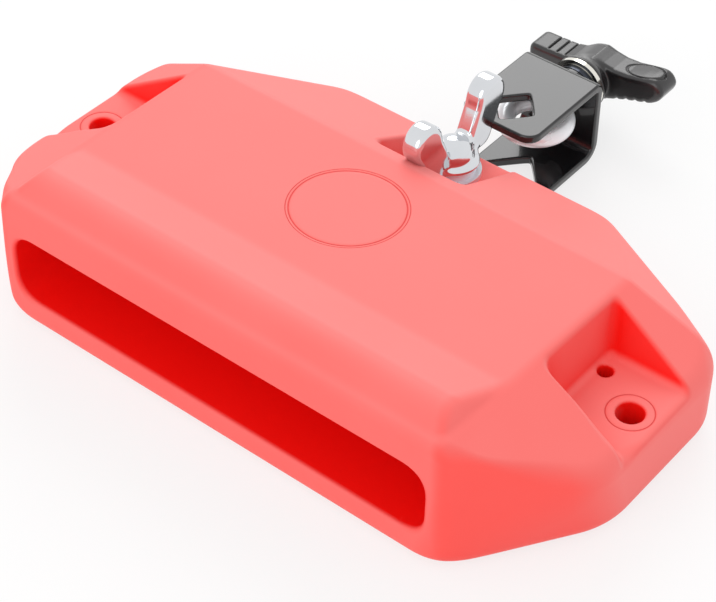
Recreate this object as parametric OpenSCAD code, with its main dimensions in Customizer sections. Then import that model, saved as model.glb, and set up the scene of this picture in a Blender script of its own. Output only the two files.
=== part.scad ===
// Moulded block with a played slot in its front and a rod clamp at its back.
// X runs along the block, Y from the slot to the clamp and Z up, in millimetres.
// The origin is midway between the two ear holes, on the flat underside.

/* [Block] */
// Length over the two ends
block_len = 219.4; // [212:0.2:230]
// Reach of the underside in front of the ear holes
front_reach = 62.3; // [60:0.1:66]
// Reach of the back face behind the ear holes
back_reach = 63; // [60:0.5:68]
// Height of the upright sides
side_height = 26.4; // [24:0.1:29]
// Length of the front face at the underside
front_len = 163; // [158:0.5:170]
// Where each end face begins at its top, in front of the ear holes
end_front = 29.4; // [22:0.5:31]
// Where each end face begins at its foot, in front of the ear holes
foot_front = 20; // [18:0.5:27]
// Where each end face stops, behind the ear holes
end_back = 33; // [28:0.5:37]
// Length of the back face
back_len = 100; // [80:1:120]
// Radius of the lower edges
edge_r = 6; // [2:0.5:7]
// Radius of the front face's lower edge
front_r = 4; // [2:0.5:6]
// How far the front corners stand back from the front and its chamfers
corner_set = 3.5; // [1:0.5:5]
// Radius of the front corners at the brow
brow_r = 5; // [2:0.5:7]
// Radius of the upright edges at their top
side_r = 2.4; // [1:0.2:4]

/* [Top] */
// Length of the top face at its front crease
top_len = 157.6; // [150:0.2:166]
// Length of the top face at its back edge
top_back_len = 158.6; // [150:0.2:166]
// Reach of the crease in front of the ear holes
crease_reach = 30; // [24:0.5:36]
// Height of the crease
crease_height = 45.6; // [43:0.1:48]
// Reach of the top's back edge behind the ear holes
top_back_reach = 27.5; // [23:0.5:31]
// Height of the top's back edge
top_back_height = 43.4; // [41:0.1:46]
// Length of the ridge
ridge_len = 148; // [136:1:154]
// Reach of the ridge in front of the ear holes
ridge_reach = 50; // [46:0.5:54]
// Height of the ridge
ridge_height = 51.9; // [50:0.1:55]
// Length of the front face at its upper edge
brow_len = 160; // [156:0.5:162]
// Reach of the front face's upper edge in front of the ear holes
brow_reach = 61.2; // [59:0.1:62]
// Height of the front face's upper edge
brow_height = 44.2; // [42:0.1:46]
// Radius of the ridge
ridge_r = 4; // [2:0.5:6]
// Radius of the crisp upper edges
crisp_r = 1.5; // [0.5:0.5:3]

/* [Slot] */
// Length of the slot
slot_len = 152.4; // [130:0.2:155]
// Height of the slot
slot_height = 23.7; // [16:0.1:26]
// Thickness of the floor under the slot
slot_floor = 10.8; // [8:0.1:13]
// Depth of the slot from the front face
slot_depth = 84; // [50:1:86]
// Radius of the slot's corners
slot_r = 4.5; // [1:0.5:8]

/* [Ears] */
// Height of the ear floors
ear_height = 25; // [22:0.5:26]
// Distance of each ear hole from the end of the block
ear_inset = 9.7; // [8:0.1:12]
// Radius of an ear hole
ear_hole_r = 4.1; // [2.5:0.1:5]
// Reach of the pocket in front of its hole
pocket_front = 16; // [12:0.5:18]
// Reach of the pocket behind its hole
pocket_back = 16; // [12:0.5:18]
// Reach of the pocket from its hole to the inner wall
pocket_inner = 17.5; // [12:0.5:18]
// Lean of the inner wall over its height
inner_lean = 2.5; // [0:0.5:4]
// Lean of the back wall over its height
back_lean = 4; // [0:0.5:6]
// Radius of the pocket's corners
pocket_r = 2.5; // [1:0.5:4]
// Radius of the peg hole in an ear floor
peg_r = 2.3; // [1:0.1:3]
// Depth of the peg hole
peg_depth = 8; // [4:0.5:14]
// Place of the peg hole, inward of the ear hole
peg_inset = 14.4; // [10:0.1:14.6]
// Place of the peg hole, behind the ear hole
peg_back = 9.1; // [6:0.1:11]

/* [Wing notch] */
// Width of the notch at its floor
notch_w = 30; // [28:0.5:34]
// Lean of each side of the notch over its height
notch_lean = 2.5; // [0:0.5:4]
// Reach of the notch in front of the clamp's pivot
notch_front = 17.8; // [16:0.2:20]
// Height of the notch floor
notch_floor = 25.5; // [22:0.5:26]

/* [Wing screw] */
// Place of the wing screw behind the ear holes
pivot_reach = 51.4; // [50:0.2:54]
// Radius of the wing screw's shank
stud_r = 4; // [3:0.1:4.5]
// Radius of the flat washer
flat_r = 9.2; // [7:0.1:11]
// Thickness of the flat washer
flat_t = 1.8; // [1:0.1:2.4]
// Radius of the split washer
split_r = 7.4; // [5.6:0.1:8]
// Thickness of the split washer
split_t = 2.4; // [1.2:0.1:2.6]
// Gap of the split washer
split_gap = 1.2; // [0.6:0.1:2]
// Radius of the hub's foot
foot_r = 8.6; // [6.6:0.1:9]
// Radius of the hub above its foot
hub_r = 6.4; // [5.4:0.1:6.5]
// Height of the hub over the washers
hub_height = 10; // [8:0.5:13]
// Height of the wings over the washers
wing_height = 23.5; // [20:0.2:30]
// Span of the two wings
wing_span = 44.2; // [36:0.5:50]
// Thickness of a wing
wing_t = 6; // [4:0.5:7]
// Radius of a wing's tip
wing_tip_r = 6; // [4.5:0.1:6.4]

/* [Bracket] */
// Width of the bracket
bracket_w = 29; // [26:0.2:31]
// Thickness of its steel
steel_t = 3; // [2:0.1:3.4]
// Height of the bracket's underside over the ground
bracket_rise = 0.5; // [0.2:0.1:3]
// Height of the bracket over its two plates
bracket_height = 30.7; // [27:0.2:32]
// Reach of the bracket's back wall behind the ear holes
wall_reach = 112.8; // [108:0.5:116]
// Reach of the upper plate's front edge behind the ear holes
plate_reach = 73.2; // [71:0.2:75]
// Outer radius of the upper bend
bend_top_r = 3.6; // [3.5:0.1:5]
// Outer radius of the lower bend
bend_low_r = 6.5; // [4:0.1:8]
// Radius of the upper plate's front corners
plate_r = 5; // [1:0.5:6]
// Place of the two rod holes behind the ear holes
rod_reach = 84.2; // [82.8:0.1:86]
// Width of the upper rod hole over its points
rod_hole_w = 15; // [12:0.1:18]
// Length of the upper rod hole over its points
rod_hole_len = 17.2; // [13:0.1:18]
// Width of the lower rod hole over its points
low_hole_w = 20.6; // [14:0.2:22]
// Length of the lower rod hole over its points
low_hole_len = 23; // [14:0.2:24]
// Radius of the rod holes' corners
rod_hole_r = 1; // [0.5:0.1:2]
// Side of the square weld nut
nut_w = 13; // [12:0.5:14]
// Height of the weld nut
nut_height = 6.5; // [4:0.1:7]
// Swing of the bracket to either side
swing = 20; // [5:1:24]

/* [Eye bolt] */
// Height of the eye bolt's axis over the ground
eye_height = 18.4; // [16:0.1:19.4]
// Outer radius of the eye
eye_outer_r = 12.9; // [10.5:0.1:13.4]
// Radius of the eye bolt's rod
eye_rod_r = 3.2; // [2.5:0.1:3.6]

/* [Handle] */
// Radius of the washer behind the wall
collar_r = 8; // [7:0.1:10]
// Thickness of the washer behind the wall
collar_t = 4.4; // [2:0.1:6]
// Radius of the ferrule's flange
flange_r = 9.6; // [8.5:0.1:11]
// Thickness of the ferrule's flange
flange_t = 1.6; // [1:0.1:2.4]
// Length of the ferrule
ferrule_len = 4; // [3:0.1:6]
// Radius of the ferrule's neck
ferrule_neck_r = 8.2; // [7:0.1:8.4]
// Radius of the handle's hub
handle_hub_r = 9.8; // [9:0.1:12]
// Radius of the hub at its free end
handle_cap_r = 6.6; // [6.2:0.1:8]
// Length of the handle's hub
handle_hub_len = 15.6; // [13:0.1:18]
// Thickness of the handle's lobes
lobe_t = 10.4; // [7:0.2:12]
// Reach of the plain lobe from the axis
lobe_long = 28.3; // [25:0.5:32]
// Reach of the grooved lobe from the axis
lobe_short = 24; // [21:0.5:28]
// Height of a lobe's tip
lobe_tip_h = 9; // [7:0.1:10]
// Height of the lobes where they meet the hub
lobe_root_h = 12; // [10:0.2:15]
// Tilt of the plain lobe from the level
long_tilt = 10; // [5:1:15]
// Tilt of the grooved lobe from the level
short_tilt = 6; // [3:1:12]
// Radius of the lobes' rounded edges
lobe_r = 1.6; // [0.8:0.1:2.5]
// Radius of the threaded insert
insert_r = 5.2; // [4.4:0.1:6]

/* [Fits] */
// Gap round a shank that turns in its bore
run_gap = 0.05; // [0.02:0.01:0.1]
// Gap of a shank in a plain hole
hole_gap = 0.5; // [0.3:0.1:0.8]
// Gap between the bracket and the block
swing_gap = 0.3; // [0.1:0.05:0.5]
// Gap over the bracket's lower plate
slide_gap = 0.05; // [0.02:0.01:0.1]

/* [Hidden] */
over = 1;
round_fn = 96;
ball_fn = 28;
skin = 0.06;
crease_sink = 5;
brow_sink = 0.4;
cap_step = 0.2;
nose_sink = 0.05;
steps = 4;
shank_share = 0.62;
foot_share = 0.22;
tip_share = 0.86;
low_share = 0.1;
mid_share = 0.9;
root_share = 0.7;

ear_pitch = block_len - 2 * ear_inset;
notch_start = pivot_reach - notch_front;

// Block faces, each through three named points
core = [0, 0, side_height / 2];
base_f = [front_len / 2, -front_reach, 0];
side_e = [block_len / 2, -end_front, side_height];
base_e = [block_len / 2, -foot_front, 0];
side_g = [block_len / 2, end_back, side_height];
base_g = [block_len / 2, end_back, 0];
side_b = [back_len / 2, back_reach, side_height];
base_b = [back_len / 2, back_reach, 0];
top_f = [top_len / 2, -crease_reach, crease_height];
top_b = [top_back_len / 2, top_back_reach, top_back_height];
ridge = [ridge_len / 2, -ridge_reach, ridge_height];
brow = [brow_len / 2, -brow_reach, brow_height];
end_mid = [block_len / 2, (end_back - end_front) / 2, side_height];

function flip(p) = [-p[0], p[1], p[2]];
function plane(a, b, c) =
    let (n = cross(b - a, c - a), u = n / norm(n), s = sign(u * (a - core)))
    [s * u, s * (u * a)];
function sunk(p, r) = [p[0], p[1] - r];
function meet(p, q, s) =
    (p[1] * cross(q[0], s[0]) + q[1] * cross(s[0], p[0]) + s[1] * cross(p[0], q[0]))
    / (cross(p[0], q[0]) * s[0]);
function spread(a, b, c) =
    [for (i = [0:steps], j = [0:steps - i]) let (v = a * i + b * j + c * (steps - i - j)) v / norm(v)];
function corner(p, q, s, r) =
    let (mid = meet(sunk(p, r), sunk(q, r), sunk(s, r)))
    [for (v = spread(p[0], q[0], s[0])) mid + r * v];

under = [[0, 0, -1], 0];
front = plane(base_f, flip(base_f), brow);
chamfer = plane(base_f, base_e, side_e);
brow_chamfer = plane(base_f, brow, side_e);
end = [[1, 0, 0], block_len / 2];
back_chamfer = plane(base_g, base_b, side_b);
back = [[0, 1, 0], back_reach];
top = plane(top_f, flip(top_f), top_b);
end_slope = plane(top_f, top_b, end_mid);
back_slope = plane(top_b, flip(top_b), side_b);
corner_slope = plane(top_b, side_g, side_b);
ridge_back = plane(top_f, flip(top_f), ridge);
nose = plane(ridge, flip(ridge), brow);
ridge_end = plane(top_f, ridge, brow);
crease_wall = [[0, 1, 0], crease_sink - crease_reach];
crease_floor = [[0, 0, -1], -side_height];
ridge_flank = [[1, 0, 0], ridge_len / 2];
brow_wall = sunk(front, brow_sink);
brow_nose = sunk(nose, nose_sink);
top_wall = [[0, -1, 0], crease_reach];

shell_corners = [
    corner(front, sunk(chamfer, corner_set), under, front_r),
    corner(sunk(front, corner_set), chamfer, under, edge_r),
    corner(chamfer, end, under, edge_r),
    corner(end, back_chamfer, under, edge_r),
    corner(back_chamfer, back, under, edge_r),
    corner(chamfer, end, end_slope, side_r),
    corner(end, back_chamfer, end_slope, side_r),
    corner(back_chamfer, back, back_slope, crisp_r),
    corner(front, brow_chamfer, nose, brow_r),
    corner(top, end_slope, top_wall, crisp_r),
    corner(top, end_slope, corner_slope, crisp_r)
];
ridge_corners = [
    corner(nose, ridge_back, ridge_end, ridge_r),
    corner(brow_wall, brow_nose, ridge_end, brow_r),
    corner(crease_wall, ridge_back, ridge_end, crisp_r),
    corner(crease_wall, crease_floor, ridge_flank, crisp_r),
    corner(brow_wall, crease_floor, ridge_flank, side_r)
];

// Heights above the block's notch and the ground
hub_base = notch_floor + flat_t + split_t;
hub_top = hub_base + hub_height;
plate_top = bracket_rise + steel_t;
nut_top = plate_top + nut_height;
shank_top = hub_base + hub_height * shank_share;
shank_foot = bracket_rise + run_gap;
upper_plate_z = bracket_rise + bracket_height - steel_t;

module rounded(corners) {
    half = [for (c = corners, p = c) p];
    points = concat(half, [for (p = half) flip(p)]);
    hull()
        polyhedron(points = points, faces = [for (i = [0:3:len(points) - 1]) [i, i + 1, i + 2]]);
}

module slot_cut() {
    translate([0, over - front_reach, slot_floor])
        rotate([90, 0, 0])
            mirror([0, 0, 1])
                translate([0, 0, -2 * over])
                    linear_extrude(height = slot_depth + over)
                        rounded_slot();
}

module rounded_slot() {
    half = slot_len / 2;
    translate([-half + slot_r, 0])
        square([slot_len - 2 * slot_r, slot_height]);
    translate([-half, slot_r])
        square([slot_len, slot_height - 2 * slot_r]);
    for (x = [-half + slot_r, half - slot_r], z = [slot_r, slot_height - slot_r])
        translate([x, z])
            circle(r = slot_r, $fn = round_fn);
}

// Walls of one ear pocket, which is open at the end of the block
pocket_floor = [[0, 0, -1], -ear_height];
pocket_cap = [[0, 0, 1], ridge_height + over];
pocket_end = [[1, 0, 0], block_len / 2 + pocket_r + over];
pocket_near = [[0, -1, 0], pocket_front];
pocket_tall = crease_height - ear_height;
pocket_wall = lean([-1, 0, 0], pocket_inner - ear_pitch / 2, inner_lean);
pocket_far = lean([0, 1, 0], pocket_back, back_lean);

function lean(u, reach, out) =
    let (n = u * pocket_tall + [0, 0, -out])
    [n / norm(n), (reach * pocket_tall - ear_height * out) / norm(n)];

module ear_pocket() {
    points = [for (z = [pocket_floor, pocket_cap], x = [pocket_wall, pocket_end], y = [pocket_near, pocket_far])
        each corner(x, y, z, pocket_r)];
    hull()
        polyhedron(points = points, faces = [for (i = [0:3:len(points) - 1]) [i, i + 1, i + 2]]);
}

module notch_cut() {
    reach = back_reach + over - notch_start;
    tall = crease_height - notch_floor;
    half = notch_w / 2;
    translate([0, notch_start, notch_floor])
        rotate([90, 0, 0])
            mirror([0, 0, 1])
                linear_extrude(height = reach)
                    polygon([[-half, 0], [half, 0], [half + notch_lean, tall], [-half - notch_lean, tall]]);
}

// Room under the block for the bracket's plate and its swing
module plate_room() {
    half = bracket_w / 2 + swing_gap;
    translate([0, pivot_reach, -over])
        linear_extrude(height = plate_top + slide_gap + over) {
            circle(r = half + slide_gap, $fn = round_fn);
            for (a = [-swing, swing])
                rotate([0, 0, a])
                    translate([-half, 0])
                        square([2 * half, back_reach - pivot_reach + half]);
        }
}

module nut_room() {
    r = nut_w / sqrt(2) + hole_gap;
    translate([0, pivot_reach, -over])
        cylinder(r = r, h = nut_top + hole_gap + over, $fn = round_fn);
}

module block_body() {
    color("crimson")
    difference() {
        union() {
            rounded(shell_corners);
            rounded(ridge_corners);
        }
        slot_cut();
        for (side = [0, 1])
            mirror([side, 0, 0]) {
                ear_pocket();
                translate([ear_pitch / 2, 0, -over])
                    cylinder(r = ear_hole_r, h = ear_height + 2 * over, $fn = round_fn);
                translate([ear_pitch / 2 - peg_inset, peg_back, ear_height - peg_depth])
                    cylinder(r = peg_r, h = peg_depth + over, $fn = round_fn);
            }
        notch_cut();
        plate_room();
        nut_room();
        translate([0, pivot_reach, -over])
            cylinder(r = stud_r + hole_gap, h = notch_floor + 2 * over, $fn = round_fn);
    }
}

module washer(outer, bore, thick) {
    difference() {
        cylinder(r = outer, h = thick, $fn = round_fn);
        translate([0, 0, -over])
            cylinder(r = bore, h = thick + 2 * over, $fn = round_fn);
    }
}

module flat_washer() {
    color("silver")
    translate([0, pivot_reach, notch_floor])
        washer(flat_r, stud_r + hole_gap, flat_t);
}

module split_washer() {
    color("gainsboro")
    translate([0, pivot_reach, notch_floor + flat_t])
        difference() {
            washer(split_r, stud_r + hole_gap, split_t);
            translate([-split_gap / 2, -split_r - over, -over])
                cube([split_gap, split_r + over, split_t + 2 * over]);
        }
}

// One wing: a plate with rounded rims through a root, a waist and a tip
module wing() {
    top = wing_height - wing_tip_r;
    tip = wing_span / 2 - wing_tip_r;
    root = hub_r - wing_tip_r / 2;
    rim = wing_t / 2;
    hull() {
        pill(tip, top, wing_tip_r, rim);
        pill(tip * tip_share, top + wing_tip_r * low_share, wing_tip_r * mid_share, rim);
        pill(root, hub_height * root_share, wing_tip_r * root_share, rim);
    }
}

module pill(y, z, r, rim) {
    for (a = [0, 35, 65, 90])
        translate([-rim * cos(a), y, z])
            rotate([0, 90, 0])
                cylinder(r = r - rim * (1 - sin(a)), h = 2 * rim * cos(a) + skin, $fn = 32);
}

module hub_profile() {
    foot = hub_height * foot_share;
    square([foot_r, foot]);
    square([hub_r, hub_height - hub_r / 2]);
    intersection() {
        square([hub_r, hub_height]);
        translate([0, hub_height - hub_r])
            circle(r = hub_r, $fn = round_fn);
    }
}

module wing_head() {
    color("lightgray")
    translate([0, pivot_reach, hub_base])
        difference() {
            union() {
                rotate_extrude($fn = round_fn) hub_profile();
                for (side = [0, 1]) mirror([0, side, 0]) wing();
            }
            translate([0, 0, -over])
                cylinder(r = stud_r + run_gap, h = shank_top + run_gap - hub_base + over, $fn = round_fn);
        }
}

module wing_shank() {
    color("darkgray")
    translate([0, pivot_reach, shank_foot])
        cylinder(r = stud_r, h = shank_top - shank_foot, $fn = round_fn);
}

// Side outline of the bent steel, with the plates to the left of the wall
module bent_outline(inset) {
    rt = bend_top_r - inset;
    rl = bend_low_r - inset;
    w = wall_reach - inset;
    lo = bracket_rise + inset;
    hi = bracket_rise + bracket_height - inset;
    start = inset == 0 ? plate_reach : plate_reach - over;
    translate([start, lo])
        square([w - rl - start, hi - lo]);
    translate([start, lo + rl])
        square([w - start, hi - lo - rl - rt]);
    translate([start, lo + rl])
        square([w - rt - start, hi - lo - rl]);
    translate([w - rl, lo + rl])
        circle(r = rl, $fn = round_fn);
    translate([w - rt, hi - rt])
        circle(r = rt, $fn = round_fn);
}

module diamond(half_x, half_y, tall) {
    hull()
        for (p = [[half_x, 0], [0, half_y], [-half_x, 0], [0, -half_y]])
            translate([p[0] * (1 - rod_hole_r / half_x * sqrt(2)), p[1] * (1 - rod_hole_r / half_y * sqrt(2)), 0])
                cylinder(r = rod_hole_r, h = tall, $fn = ball_fn);
}

module clamp_bracket() {
    color("dimgray")
    difference() {
        union() {
            translate([-bracket_w / 2, 0, 0])
                rotate([90, 0, 90])
                    linear_extrude(height = bracket_w)
                        difference() {
                            bent_outline(0);
                            bent_outline(steel_t);
                        }
            translate([-bracket_w / 2, pivot_reach, bracket_rise])
                cube([bracket_w, plate_reach + steel_t - pivot_reach, steel_t]);
            translate([0, pivot_reach, bracket_rise])
                cylinder(r = bracket_w / 2, h = steel_t, $fn = round_fn);
        }
        for (side = [0, 1])
            mirror([side, 0, 0])
                translate([bracket_w / 2 - plate_r, plate_reach + plate_r, upper_plate_z - over])
                    difference() {
                        translate([0, -plate_r - over, 0])
                            cube([plate_r + over, plate_r + over, steel_t + 2 * over]);
                        cylinder(r = plate_r, h = steel_t + 2 * over, $fn = round_fn);
                    }
        translate([0, rod_reach, upper_plate_z - over])
            diamond(rod_hole_w / 2, rod_hole_len / 2, steel_t + 2 * over);
        translate([0, rod_reach, bracket_rise - over])
            diamond(low_hole_w / 2, low_hole_len / 2, steel_t + 2 * over);
        translate([0, pivot_reach, bracket_rise - over])
            cylinder(r = stud_r + hole_gap, h = steel_t + 2 * over, $fn = round_fn);
        translate([0, wall_reach - steel_t - over, eye_height])
            rotate([-90, 0, 0])
                cylinder(r = eye_rod_r + hole_gap, h = steel_t + 2 * over, $fn = round_fn);
    }
}

module weld_nut() {
    color("darkkhaki")
    translate([0, pivot_reach, plate_top])
        difference() {
            translate([-nut_w / 2, -nut_w / 2, 0])
                cube([nut_w, nut_w, nut_height]);
            translate([0, 0, -over])
                cylinder(r = stud_r + run_gap, h = nut_height + 2 * over, $fn = round_fn);
        }
}

// The eye lies flat between the plates and its shank leaves through the wall
collar_start = wall_reach;
ferrule_start = collar_start + collar_t + run_gap;
hub_start = ferrule_start + ferrule_len;
hub_end = hub_start + handle_hub_len;
eye_mid = wall_reach - steel_t - swing_gap - eye_outer_r;
eye_ring_r = eye_outer_r - eye_rod_r;
shank_end = hub_end - steel_t;

module eye_bolt() {
    color("lightsteelblue")
    translate([0, eye_mid, eye_height]) {
        rotate_extrude($fn = round_fn)
            translate([eye_ring_r, 0])
                circle(r = eye_rod_r, $fn = round_fn);
        translate([0, eye_ring_r, 0])
            rotate([-90, 0, 0])
                cylinder(r = eye_rod_r, h = shank_end - eye_mid - eye_ring_r, $fn = round_fn);
    }
}

module collar_washer() {
    color("slategray")
    translate([0, collar_start, eye_height])
        rotate([-90, 0, 0])
            washer(collar_r, eye_rod_r + hole_gap, collar_t);
}

module handle_ferrule() {
    color("gold")
    translate([0, ferrule_start, eye_height])
        rotate([-90, 0, 0])
            difference() {
                union() {
                    cylinder(r = ferrule_neck_r, h = ferrule_len, $fn = round_fn);
                    translate([0, 0, ferrule_len - flange_t])
                        cylinder(r = flange_r, h = flange_t, $fn = round_fn);
                }
                translate([0, 0, -over])
                    cylinder(r = eye_rod_r + hole_gap, h = ferrule_len + 2 * over, $fn = round_fn);
            }
}

module threaded_insert() {
    color("khaki")
    translate([0, hub_start, eye_height])
        rotate([-90, 0, 0])
            washer(insert_r, eye_rod_r + run_gap, shank_end - hub_start);
}

// One lobe, thin at its rising tip and tall at the hub, with rounded edges
module lobe(reach, tilt) {
    deep = lobe_t / 2 - lobe_r;
    tip_x = reach - lobe_tip_h / 2;
    tip_h = lobe_tip_h / 2 - lobe_r;
    root_h = lobe_root_h / 2 - lobe_r;
    rise = tip_x * tan(tilt);
    hull() {
        for (y = [-deep, deep], z = [-tip_h, tip_h])
            translate([tip_x, y, rise + z])
                sphere(r = lobe_r, $fn = ball_fn);
        for (y = [-deep, deep])
            translate([tip_x + tip_h, y, rise])
                sphere(r = lobe_r, $fn = ball_fn);
        for (y = [-deep, deep], z = [-root_h, root_h])
            translate([0, y, z])
                sphere(r = lobe_r, $fn = ball_fn);
    }
}

module wing_handle() {
    lobe_mid = hub_end - lobe_t / 2;
    color("black")
    translate([0, 0, eye_height])
        difference() {
            union() {
                translate([0, hub_start, 0])
                    rotate([-90, 0, 0])
                        cylinder(r1 = handle_hub_r, r2 = handle_cap_r, h = handle_hub_len - cap_step, $fn = round_fn);
                translate([0, lobe_mid, 0])
                    lobe(lobe_long, long_tilt);
                translate([0, lobe_mid, 0])
                    rotate([0, 180, 0])
                        lobe(lobe_short, short_tilt);
            }
            translate([0, hub_start - over, 0])
                rotate([-90, 0, 0])
                    cylinder(r = insert_r, h = shank_end - hub_start + over, $fn = round_fn);
        }
}

block_body();
flat_washer();
split_washer();
wing_head();
wing_shank();
clamp_bracket();
weld_nut();
eye_bolt();
collar_washer();
handle_ferrule();
threaded_insert();
wing_handle();
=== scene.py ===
import math

import bpy
import numpy as np
from mathutils import Matrix, Vector


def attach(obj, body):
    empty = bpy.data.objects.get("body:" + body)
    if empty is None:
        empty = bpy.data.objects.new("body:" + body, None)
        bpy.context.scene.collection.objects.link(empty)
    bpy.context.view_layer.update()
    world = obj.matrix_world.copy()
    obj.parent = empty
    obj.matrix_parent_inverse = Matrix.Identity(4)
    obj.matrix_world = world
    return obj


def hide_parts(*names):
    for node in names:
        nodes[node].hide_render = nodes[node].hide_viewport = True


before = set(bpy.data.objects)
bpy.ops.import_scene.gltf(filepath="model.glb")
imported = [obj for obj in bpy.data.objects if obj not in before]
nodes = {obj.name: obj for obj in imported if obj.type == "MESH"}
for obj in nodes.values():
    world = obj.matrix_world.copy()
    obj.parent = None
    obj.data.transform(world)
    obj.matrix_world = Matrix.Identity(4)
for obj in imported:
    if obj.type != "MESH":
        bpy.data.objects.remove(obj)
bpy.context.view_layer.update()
mm = 0.001  # shapes are written in millimetres, meshes and materials in metres
scene = bpy.context.scene


# Shapes are fields, worked out for whole arrays at once: below zero inside, above zero outside.
def roundMax(a, b, k):
    # The larger of the two, plus (k - difference) squared over 4 k where they differ by less than k.
    h = np.maximum(k - np.abs(a - b), 0.0)
    return np.maximum(a, b) + h * h / (4.0 * k)


def roundMin(a, b, k):
    # The smaller of the two, with the same rounding taken off.
    return -roundMax(-a, -b, k)


def carve(solid, hole, k):
    # What is inside the solid and outside the hole, with a rounded mouth.
    return roundMax(solid, -hole, k)


def smoothStep(a, b, t):
    # Zero at a, one at b, and 3 t squared less 2 t cubed between them. With a above b it falls.
    t = np.clip((t - a) / (b - a), 0.0, 1.0)
    return t * t * (3.0 - 2.0 * t)


def bell(t, width):
    # e to the minus (t over width) squared: one at zero, and nearly nothing two widths away.
    return np.exp(-(t / width) ** 2)


def rod(x, y, z, a, b, r):
    # Distance from the line between a and b, less the radius r.
    a, b = np.array(a, float), np.array(b, float)
    d = b - a
    t = ((x - a[0]) * d[0] + (y - a[1]) * d[1] + (z - a[2]) * d[2]) / (d @ d)
    t = np.clip(t, 0.0, 1.0)
    return np.sqrt((x - a[0] - t * d[0]) ** 2 + (y - a[1] - t * d[1]) ** 2 + (z - a[2] - t * d[2]) ** 2) - r


def planeThrough(a, b, c, inside):
    # Unit normal and offset of the plane through three points, facing away from inside.
    a, b, c = (np.array(p, float) for p in (a, b, c))
    n = np.cross(b - a, c - a)
    n /= np.linalg.norm(n)
    d = n @ a
    return (n, d) if n @ np.array(inside, float) < d else (-n, -d)


def away(plane, x, y, z):
    # Distance from a plane: the point times its normal, less its offset.
    n, d = plane
    return n[0] * x + n[1] * y + n[2] * z - d


def fieldSlope(field, points, reach=0.05):
    # Central differences along the three axes.
    out = np.empty_like(points)
    for i in range(3):
        side = np.zeros(3)
        side[i] = reach
        out[:, i] = (field(*(points + side).T) - field(*(points - side).T)) / (2 * reach)
    return out


netForm = {"slab": 24, "passes": 4, "longest": 0.3, "leastSlope": 0.2, "quickStep": 1.8, "quickShare": 3}


def fieldGrid(field, axes):
    # The field at every grid point, a slab of the first axis at a time to spare memory.
    values = np.empty([len(axis) for axis in axes], np.float32)
    yy, zz = np.meshgrid(axes[1], axes[2], indexing="ij")
    yy, zz = yy.astype(np.float32)[None], zz.astype(np.float32)[None]
    slab = netForm["slab"]
    for i in range(0, len(axes[0]), slab):
        xx = axes[0][i:i + slab].astype(np.float32)[:, None, None]
        values[i:i + slab] = field(xx, yy, zz)
    return values


def netSurface(name, field, low, high, step):
    # One vertex in each grid cell that the surface crosses, at the mean of the crossings on
    # the cell's edges, then moved along the slope by the value until it lies on the surface.
    low, high = np.array(low, float), np.array(high, float)
    count = np.ceil((high - low) / step).astype(int) + 1
    values = fieldGrid(field, [low[i] + step * np.arange(count[i]) for i in range(3)])
    inside = values < 0
    nx, ny, nz = (n - 1 for n in count)
    corners = [(a, b, c) for a in (0, 1) for b in (0, 1) for c in (0, 1)]
    full = sum(inside[a:a + nx, b:b + ny, c:c + nz].astype(np.int8) for a, b, c in corners)
    active = np.argwhere((full > 0) & (full < len(corners)))
    index = np.full(full.shape, -1, np.int64)
    index[tuple(active.T)] = np.arange(len(active))
    total, weight = np.zeros((len(active), 3)), np.zeros(len(active))
    for a in corners:
        for axis in range(3):
            if a[axis]:
                continue
            b = tuple(1 if i == axis else a[i] for i in range(3))
            va = values[tuple((active + a).T)]
            vb = values[tuple((active + b).T)]
            cut = (va < 0) != (vb < 0)
            t = np.where(cut, va / np.where(cut, va - vb, 1), 0)
            total[cut] += (active + a)[cut]
            total[cut, axis] += t[cut]
            weight += cut
    points = low + step * total / weight[:, None]
    longest = netForm["longest"] * step
    for _ in range(netForm["passes"]):
        value = field(*points.T)
        slope = fieldSlope(field, points)
        move = value[:, None] * slope / np.maximum((slope ** 2).sum(1), netForm["leastSlope"])[:, None]
        points -= np.clip(move, -longest, longest)
    return meshFrom(name, points, netFaces(inside, index, count))


def netFaces(inside, index, count):
    # One four-sided face round each grid edge that has an end on either side of the surface.
    quads = []
    for axis in range(3):
        u, v = [(1, 2), (2, 0), (0, 1)][axis]
        near = [slice(None)] * 3
        far = [slice(None)] * 3
        near[axis], far[axis] = slice(0, -1), slice(1, None)
        first, second = inside[tuple(near)], inside[tuple(far)]
        at = np.argwhere(first != second)
        at = at[(at[:, u] > 0) & (at[:, v] > 0) & (at[:, u] < count[u] - 1) & (at[:, v] < count[v] - 1)]
        ring = []
        for du, dv in [(1, 1), (0, 1), (0, 0), (1, 0)]:
            c = at.copy()
            c[:, u] -= du
            c[:, v] -= dv
            ring.append(index[tuple(c.T)])
        ring = np.stack(ring, 1)
        turned = ~first[tuple(at.T)]
        ring[turned] = ring[turned][:, ::-1]
        quads.append(ring)
    return np.concatenate(quads)


def meshFrom(name, points, faces):
    mesh = bpy.data.meshes.new(name)
    faces = np.asarray(faces, np.int32)
    sides = faces.shape[1]
    mesh.vertices.add(len(points))
    mesh.vertices.foreach_set("co", (np.asarray(points) * mm).astype(np.float32).ravel())
    mesh.loops.add(faces.size)
    mesh.loops.foreach_set("vertex_index", faces.ravel())
    mesh.polygons.add(len(faces))
    mesh.polygons.foreach_set("loop_start", np.arange(0, faces.size, sides, dtype=np.int32))
    mesh.polygons.foreach_set("use_smooth", np.ones(len(faces), bool))
    mesh.update(calc_edges=True)
    mesh.validate()
    piece = bpy.data.objects.new(name, mesh)
    scene.collection.objects.link(piece)
    return piece


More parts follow.
